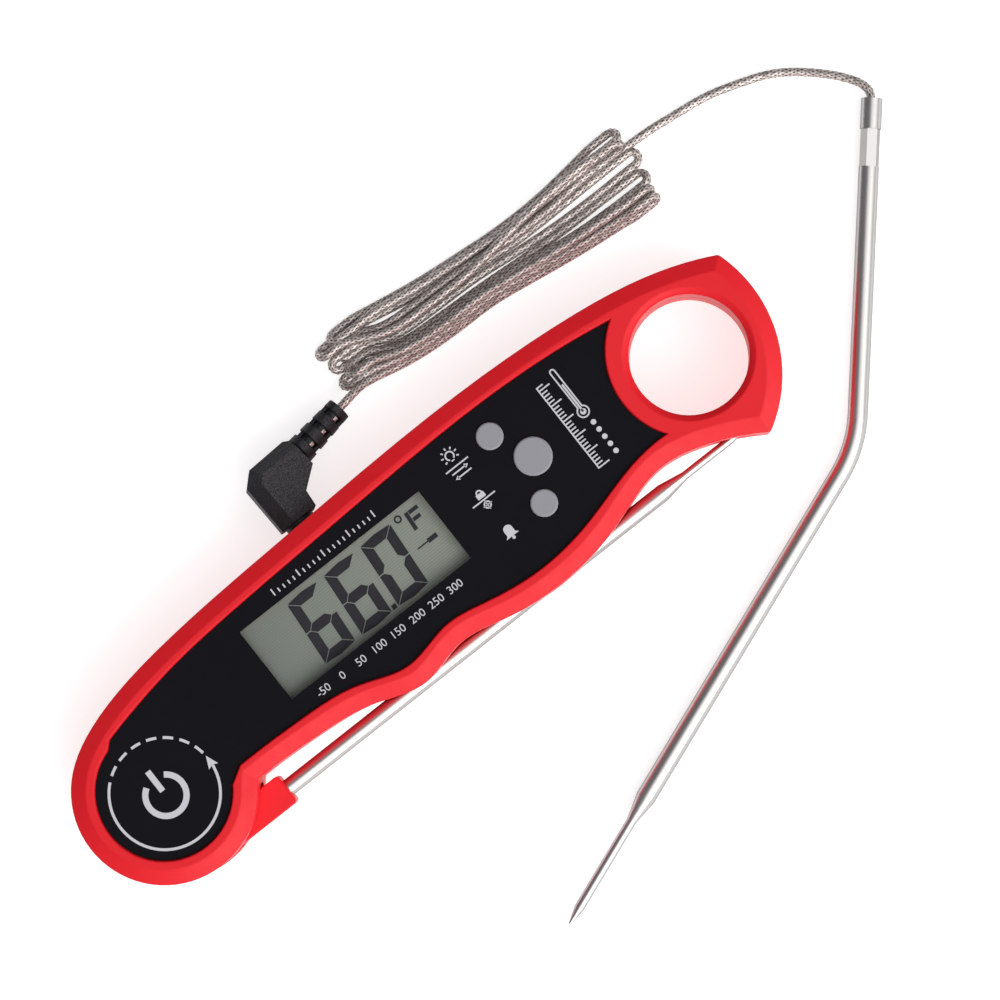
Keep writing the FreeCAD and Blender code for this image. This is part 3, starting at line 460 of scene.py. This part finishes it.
def fold_points(tip, towards, start, end):
    """Five points that lead a spline round a half circle from one strand to the next."""
    y_in, z_in = start
    y_out, z_out = end
    radius = math.hypot(y_out - y_in, z_out - z_in) / 2
    points = []
    for reach, share in FOLD_SHAPE:
        x = tip + towards * radius * (reach - 1.0)
        points.append((x, y_in + (y_out - y_in) * share, z_in + (z_out - z_in) * share))
    return points


def hank_points():
    """Every strand's stations, then the fold at its end."""
    points = []
    for number, (heights, z) in enumerate(STRANDS):
        towards = 1 if number % 2 == 0 else -1
        stations = list(zip(STATIONS, heights))[::towards]
        points += [(x, y, z) for x, y in stations]
        if number < len(FOLDS):
            tip, y_in, z_in, y_out, z_out = FOLDS[number]
            points.append((tip - towards * FOLD_RUN, y_in, z_in))
            points += fold_points(tip, towards, (y_in, z_in), (y_out, z_out))
            points.append((tip - towards * FOLD_RUN, y_out, z_out))
    return points


def nurbs_line(name, points):
    """The centreline of that route as a list of points, read from its smooth spline."""
    data = bpy.data.curves.new(name, "CURVE")
    data.dimensions = "3D"
    data.resolution_u = 10
    spline = data.splines.new("NURBS")
    spline.points.add(len(points) - 1)
    for point, place in zip(spline.points, points):
        point.co = (*at(*place), 1)
    spline.order_u = 3
    spline.use_endpoint_u = True
    holder = bpy.data.objects.new(name, data)
    bpy.context.scene.collection.objects.link(holder)
    bpy.context.view_layer.update()
    mesh = bpy.data.meshes.new_from_object(holder)
    line = [v.co.copy() for v in mesh.vertices]
    bpy.data.meshes.remove(mesh)
    bpy.data.objects.remove(holder)
    bpy.data.curves.remove(data)
    return line


def add_mesh(name, verts, faces, material, body, smooth=True):
    mesh = bpy.data.meshes.new(name)
    mesh.from_pydata(verts, [], faces)
    mesh.update()
    if smooth:
        mesh.polygons.foreach_set("use_smooth", [True] * len(mesh.polygons))
    mesh.materials.append(material)
    piece = bpy.data.objects.new(name, mesh)
    bpy.context.scene.collection.objects.link(piece)
    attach(piece, body)
    return piece


def frames_along(line):
    """For each point of a line, two unit vectors across it that don't twist."""
    side = Vector((0, 0, 1))
    result = []
    for index in range(len(line)):
        ahead = line[min(index + 1, len(line) - 1)] - line[max(index - 1, 0)]
        ahead.normalize()
        side = (side - ahead * side.dot(ahead)).normalized()
        result.append((side.copy(), ahead.cross(side)))
    return result


def evenly(line, step):
    """The line again, with points at equal steps."""
    points, left = [line[0].copy()], step
    for start, end in zip(line, line[1:]):
        run = (end - start).length
        while run >= left > 0:
            start = start + (end - start) * (left / run)
            points.append(start.copy())
            run, left = run - left, step
        left -= run
    return points


def wrapped_strip(frames, angle_at, radius_at, half_angle):
    """Vertices and faces of a strip, three points wide, wound round the line."""
    verts, faces = [], []
    for ring, (point, one, two) in enumerate(frames):
        for step, sink in ((-1, BRAID_CROWN), (0, 0.0), (1, BRAID_CROWN)):
            angle = angle_at(ring) + step * half_angle
            across = one * math.cos(angle) + two * math.sin(angle)
            verts.append(point + across * (radius_at(ring) - sink))
    for ring in range(len(frames) - 1):
        for step in (0, 1):
            base = 3 * ring + step
            faces.append((base, base + 1, base + 4, base + 3))
    return verts, faces


def wrapped_tube(frames, radius, sides):
    """Vertices and faces of a tube round the line."""
    verts, faces = [], []
    for point, one, two in frames:
        for step in range(sides):
            angle = 2 * math.pi * step / sides
            verts.append(point + (one * math.cos(angle) + two * math.sin(angle)) * radius)
    for ring in range(len(frames) - 1):
        for step in range(sides):
            base, after = ring * sides, (step + 1) % sides
            faces.append((base + step, base + after, base + sides + after, base + sides + step))
    return verts, faces


def braid(name, line, materials, body):
    """A dark core with two sets of strips wound opposite ways, each passing over and under the other."""
    line = evenly(line, BRAID_PITCH / (2 * BRAID_STRANDS))
    frames = [(point, *pair) for point, pair in zip(line, frames_along(line))]
    verts, faces = wrapped_tube(frames, BRAID_CORE_R, 8)
    core_faces = len(faces)
    for way in (1, -1):
        for strand in range(BRAID_STRANDS):
            def angle_at(ring):
                return way * math.pi * ring / BRAID_STRANDS + 2 * math.pi * strand / BRAID_STRANDS

            def radius_at(ring):
                return BRAID_R + way * (1 if ring % 2 else -1) * BRAID_RISE

            more_verts, more_faces = wrapped_strip(frames, angle_at, radius_at, BRAID_HALF_ANGLE)
            if way < 0:
                more_faces = [face[::-1] for face in more_faces]
            faces += [tuple(len(verts) + v for v in face) for face in more_faces]
            verts += more_verts
    cord = add_mesh(name, verts, faces, materials["cord"], body)
    cord.data.materials.append(materials["wire"])
    for polygon in cord.data.polygons[core_faces:]:
        polygon.material_index = 1
    return cord


def make_cord(materials):
    line = nurbs_line("cord_route", LEAD + hank_points() + RUN)
    cord = braid("braided_cord", line, materials, PLUGGED)
    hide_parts("cord_lead", "cord_hank", "cord_run")


RELIEF_START, RELIEF_HEADING = (60.5, 36.75, 9.5), 9.5
RELIEF_GAPS, RELIEF_CORE_R = (2.3, 5.7, 9.1), 1.53
PATCH_RIBS, PATCH_FROM_DEG, PATCH_STEP_DEG, PATCH_HALF = 7, 24, 5, 0.4  # wire seen in each window
PIN_X, PIN_Z, PLUG_ROLL = 51.8, 9.5, 10.0  # the plug hangs turned about its pin


def rolled(point):
    """A place on the level plug, where the plug's roll takes it, in metres."""
    turn = math.radians(PLUG_ROLL)
    dx, dz = point.x - PIN_X, point.z - PIN_Z
    x = PIN_X + dx * math.cos(turn) + dz * math.sin(turn)
    return at(x, point.y, PIN_Z - dx * math.sin(turn) + dz * math.cos(turn))


def make_relief_wire(materials):
    """The cord's wire, seen through the windows of the strain relief."""
    turn = math.radians(RELIEF_HEADING)
    along = Vector((math.cos(turn), math.sin(turn), 0))
    across = Vector((math.sin(turn), -math.cos(turn), 0))
    start = Vector(RELIEF_START)
    verts, faces = [], []
    for gap in RELIEF_GAPS:
        base = len(verts)
        for number in range(PATCH_RIBS):
            angle = math.radians(PATCH_FROM_DEG + PATCH_STEP_DEG * number)
            side = across * math.sin(angle) + Vector((0, 0, math.cos(angle)))
            for step in (-PATCH_HALF, 0.0, PATCH_HALF):
                verts.append(rolled(start + along * (gap + step) + side * RELIEF_CORE_R))
        for number in range(PATCH_RIBS - 1):
            for step in (0, 1):
                corner = base + 3 * number + step
                faces.append((corner, corner + 3, corner + 4, corner + 1))
    wire = add_mesh("relief_wire", verts, faces, materials["wire"], PLUGGED)


# --- flat shapes for the face and the display ----------------------------------------------
def on_arc(centre, radius, degrees):
    a = math.radians(degrees)
    return centre[0] + radius * math.cos(a), centre[1] + radius * math.sin(a)


def arc_points(centre, radius, start, end, step=6.0):
    count = max(2, round(abs(end - start) / step))
    return [on_arc(centre, radius, start + (end - start) * i / count) for i in range(count + 1)]


def stroke(points, width, closed=False):
    """Four-sided outlines along a line of points, mitred where it turns."""
    line = [Vector(p) for p in points]
    count = len(line)
    sides = []
    for index, point in enumerate(line):
        before = line[index - 1] if index or closed else None
        after = line[(index + 1) % count] if index < count - 1 or closed else None
        into = (point - before).normalized() if before is not None else (after - point).normalized()
        out = (after - point).normalized() if after is not None else into
        mean = (into + out).normalized()
        across = Vector((-mean.y, mean.x)) * (width / 2 / max(0.4, mean.dot(into)))
        sides.append((point + across, point - across))
    pairs = list(zip(sides, sides[1:])) + ([(sides[-1], sides[0])] if closed else [])
    return [[a[0], a[1], b[1], b[0]] for a, b in pairs]


def ring(centre, radius, width):
    return stroke(arc_points(centre, radius, 0, 360, 10)[:-1], width, closed=True)


def disc(centre, radius, sides=20):
    return [[on_arc(centre, radius, 360 * i / sides) for i in range(sides)]]


def bar(x0, x1, y0, y1):
    return [[(x0, y0), (x1, y0), (x1, y1), (x0, y1)]]


def flat(name, outlines, height, material, body):
    """One piece made of flat outlines that face up at a height."""
    verts, faces = [], []
    for outline in outlines:
        turned = sum(a[0] * b[1] - b[0] * a[1] for a, b in zip(outline, outline[1:] + outline[:1]))
        face = list(range(len(verts), len(verts) + len(outline)))
        faces.append(face if turned > 0 else face[::-1])
        verts += [at(x, y, height) for x, y in outline]
    return add_mesh(name, verts, faces, material, body, smooth=False)


# --- prints on the face --------------------------------------------------------------------
PRINT_Z = 18.42  # just over the face panel
FINE = 0.3  # width of a fine printed line
DIAL = (-0.5, 0.1)
DIAL_R, DIAL_LINE = 10.8, 0.55
TOP_ROW_X, TOP_ROW_STEP, TOP_ROW_Y = 39.9, 1.225, 16.9  # marks over the display
SIDE_ROW_X, SIDE_ROW_Y, SIDE_ROW_STEP = 104.2, -2.4, 0.745  # marks beside the buttons


def dial():
    """A circle closed by a dashed quarter with an arrow at its end, round an on-off sign."""
    shapes = stroke(arc_points(DIAL, DIAL_R, 130.5, 353, 4), DIAL_LINE)
    for number in range(7):
        middle = 118.2 - 17.4 * number
        shapes += stroke(arc_points(DIAL, DIAL_R, middle + 5.4, middle - 5.4, 4), DIAL_LINE)
    shapes.append([on_arc(DIAL, DIAL_R, 4.5), on_arc(DIAL, 9.75, -10.0), on_arc(DIAL, DIAL_R, -6.8),
                   on_arc(DIAL, 11.9, -8.6)])
    shapes += stroke(arc_points((DIAL[0], DIAL[1] - 0.4), 4.0, 122, 418), 1.2)
    return shapes + bar(DIAL[0] - 0.6, DIAL[0] + 0.6, DIAL[1] + 0.6, DIAL[1] + 5.4)


def scale_marks():
    """Rows of marks: one over the display, one with a spine beside the buttons."""
    shapes = []
    for number in range(21):
        x, long = TOP_ROW_X + TOP_ROW_STEP * number, number % 5 == 0
        shapes += bar(x - 0.14, x + 0.14, TOP_ROW_Y, TOP_ROW_Y + (1.5 if long else 0.9))
    for number in range(27):
        y, long = SIDE_ROW_Y + SIDE_ROW_STEP * number, number % 5 == 0
        shapes += bar(SIDE_ROW_X, SIDE_ROW_X + (2.4 if long else 1.3), y - 0.15, y + 0.15)
    return shapes + bar(SIDE_ROW_X - FINE, SIDE_ROW_X, SIDE_ROW_Y - 0.15, y + 0.15)


def thermometer_sign():
    """A small thermometer and five dots."""
    glass = arc_points((108.4, 8.0), 1.15, 115, 425, 15) + arc_points((108.4, 17.6), 0.5, 0, 180, 30)
    shapes = stroke(glass, FINE, closed=True) + disc((108.4, 8.0), 0.62) + bar(108.2, 108.6, 8.0, 14.6)
    for number in range(5):
        shapes += disc((108.7, -1.8 + 1.75 * number), 0.55, 12)
    return shapes


def button_signs():
    """Lamp over arrows, lock over target, and a bell."""
    lamp = (82.9, 17.2)
    shapes = stroke(arc_points(lamp, 0.85, -60, 240, 15), FINE) + bar(82.55, 83.25, 16.0, 16.25)
    for number in range(7):
        angle = -30 + 40 * number
        shapes += stroke([on_arc(lamp, 1.3, angle), on_arc(lamp, 1.8, angle)], FINE)
    shapes += bar(80.2, 85.6, 14.75, 15.05)
    for y, way in ((13.9, 1), (12.8, -1)):
        tip = 82.9 + 1.9 * way
        shapes += stroke([(82.9 - 1.9 * way, y), (tip - 0.5 * way, y)], FINE)
        shapes.append([(tip, y), (tip - 0.8 * way, y + 0.5), (tip - 0.8 * way, y - 0.5)])
    shapes += bar(82.0, 83.8, 6.95, 8.0) + stroke(arc_points((82.9, 8.0), 0.55, 0, 180, 20), FINE)
    shapes += bar(80.2, 85.6, 6.35, 6.65)
    shapes += ring((82.9, 5.3), 0.65, FINE) + bar(81.9, 83.9, 5.2, 5.4) + bar(82.8, 83.0, 4.3, 6.3)
    dome = arc_points((83.0, -0.9), 0.95, 0, 180, 20)
    shapes.append([(84.5, -2.4), (83.95, -1.9)] + dome + [(82.05, -1.9), (81.5, -2.4)])
    return shapes + disc((83.0, -2.75), 0.35, 12)


def number_row(values, left, right, middle, height, material):
    """Numbers spread evenly along a row, as one piece."""
    verts, faces = [], []
    for index, value in enumerate(values):
        data = bpy.data.curves.new("number", "FONT")
        data.body = str(value)
        data.resolution_u = 3
        holder = bpy.data.objects.new("number", data)
        bpy.context.scene.collection.objects.link(holder)
        bpy.context.view_layer.update()
        mesh = bpy.data.meshes.new_from_object(holder)
        xs, ys = [v.co.x for v in mesh.vertices], [v.co.y for v in mesh.vertices]
        size = height / (max(ys) - min(ys))
        x = left + (right - left) * index / (len(values) - 1)
        for polygon in mesh.polygons:
            faces.append([len(verts) + v for v in polygon.vertices])
        for vertex in mesh.vertices:
            verts.append(at(x + (vertex.co.x - (max(xs) + min(xs)) / 2) * size,
                            middle + (vertex.co.y - (max(ys) + min(ys)) / 2) * size, PRINT_Z))
        bpy.data.meshes.remove(mesh)
        bpy.data.objects.remove(holder)
        bpy.data.curves.remove(data)
    return add_mesh("number_row", verts, faces, material, MAIN, smooth=False)


def make_prints(materials):
    ink = materials["print"]
    for name, shapes in (("dial_print", dial()), ("scale_print", scale_marks()),
                         ("thermometer_print", thermometer_sign()), ("button_print", button_signs())):
        flat(name, shapes, PRINT_Z, ink, MAIN)
    number_row((-50, 0, 50, 100, 150, 200, 250, 300), 36.0, 68.2, -3.15, 1.6, ink)


# --- what the display shows ------------------------------------------------------------------
INK_Z = 16.05  # just over the display's glass
SLANT = 0.08
DIGITS = (("6", 39.8, 47.1), ("6", 48.8, 56.1), ("0", 57.8, 65.1))  # with x low and x high
DIGIT_Y = (0.3, 14.5)
DIGIT_THICK, DIGIT_GAP, DIGIT_CROWN = 2.05, 0.11, 0.35
SEGMENTS = {"0": "abcdef", "6": "acdefg"}


def segment_shapes(x0, x1, y0, y1, thick, gap, crown):
    """The seven segments of a digit, by letter, with mitred ends; the crown points its top and foot."""
    middle = (y0 + y1) / 2
    half = thick / 2
    cross = (x0 + x1) / 2
    return {
        "a": [(x0 + gap, y1 - crown), (cross, y1), (x1 - gap, y1 - crown), (x1 - thick - gap, y1 - thick),
              (x0 + thick + gap, y1 - thick)],
        "b": [(x1, y1 - crown - gap), (x1 - thick, y1 - thick - gap), (x1 - thick, middle + half + gap),
              (x1 - half, middle + gap), (x1, middle + gap)],
        "c": [(x1, y0 + crown + gap), (x1 - thick, y0 + thick + gap), (x1 - thick, middle - half - gap),
              (x1 - half, middle - gap), (x1, middle - gap)],
        "d": [(x0 + gap, y0 + crown), (cross, y0), (x1 - gap, y0 + crown), (x1 - thick - gap, y0 + thick),
              (x0 + thick + gap, y0 + thick)],
        "e": [(x0, y0 + crown + gap), (x0 + thick, y0 + thick + gap), (x0 + thick, middle - half - gap),
              (x0 + half, middle - gap), (x0, middle - gap)],
        "f": [(x0, y1 - crown - gap), (x0 + thick, y1 - thick - gap), (x0 + thick, middle + half + gap),
              (x0 + half, middle + gap), (x0, middle + gap)],
        "g": [(x0 + half + gap, middle), (x0 + thick + gap, middle + half), (x1 - thick - gap, middle + half),
              (x1 - half - gap, middle), (x1 - thick - gap, middle - half),
              (x0 + thick + gap, middle - half)],
    }


def slanted(outlines):
    """The outlines leaning towards +X, about half a digit's height."""
    middle = sum(DIGIT_Y) / 2
    return [[(x + SLANT * (y - middle), y) for x, y in outline] for outline in outlines]


def make_reading(materials):
    """Three digits with a point, the unit sign with its degree ring, and a small probe."""
    shapes = []
    for digit, x0, x1 in DIGITS:
        segments = segment_shapes(x0, x1, *DIGIT_Y, DIGIT_THICK, DIGIT_GAP, DIGIT_CROWN)
        shapes += [segments[letter] for letter in SEGMENTS[digit]]
    shapes += bar(56.5, 57.5, 0.6, 1.6)
    shapes += bar(68.4, 69.25, 10.1, 14.0) + bar(69.35, 71.5, 13.2, 14.0) + bar(69.35, 71.1, 11.6, 12.4)
    shapes = slanted(shapes) + ring((67.4, 13.9), 0.62, 0.36)
    shapes += stroke([(66.9, 7.0), (69.4, 7.0)], FINE) + stroke([(69.4, 7.0), (71.6, 7.0)], 0.95)
    flat("display_reading", shapes, INK_Z, materials["ink"], MAIN)


make_camera()
MATERIALS = make_materials()
make_stage()
make_lights()
paint_nodes(MATERIALS)
make_cord(MATERIALS)
make_relief_wire(MATERIALS)
make_prints(MATERIALS)
make_reading(MATERIALS)
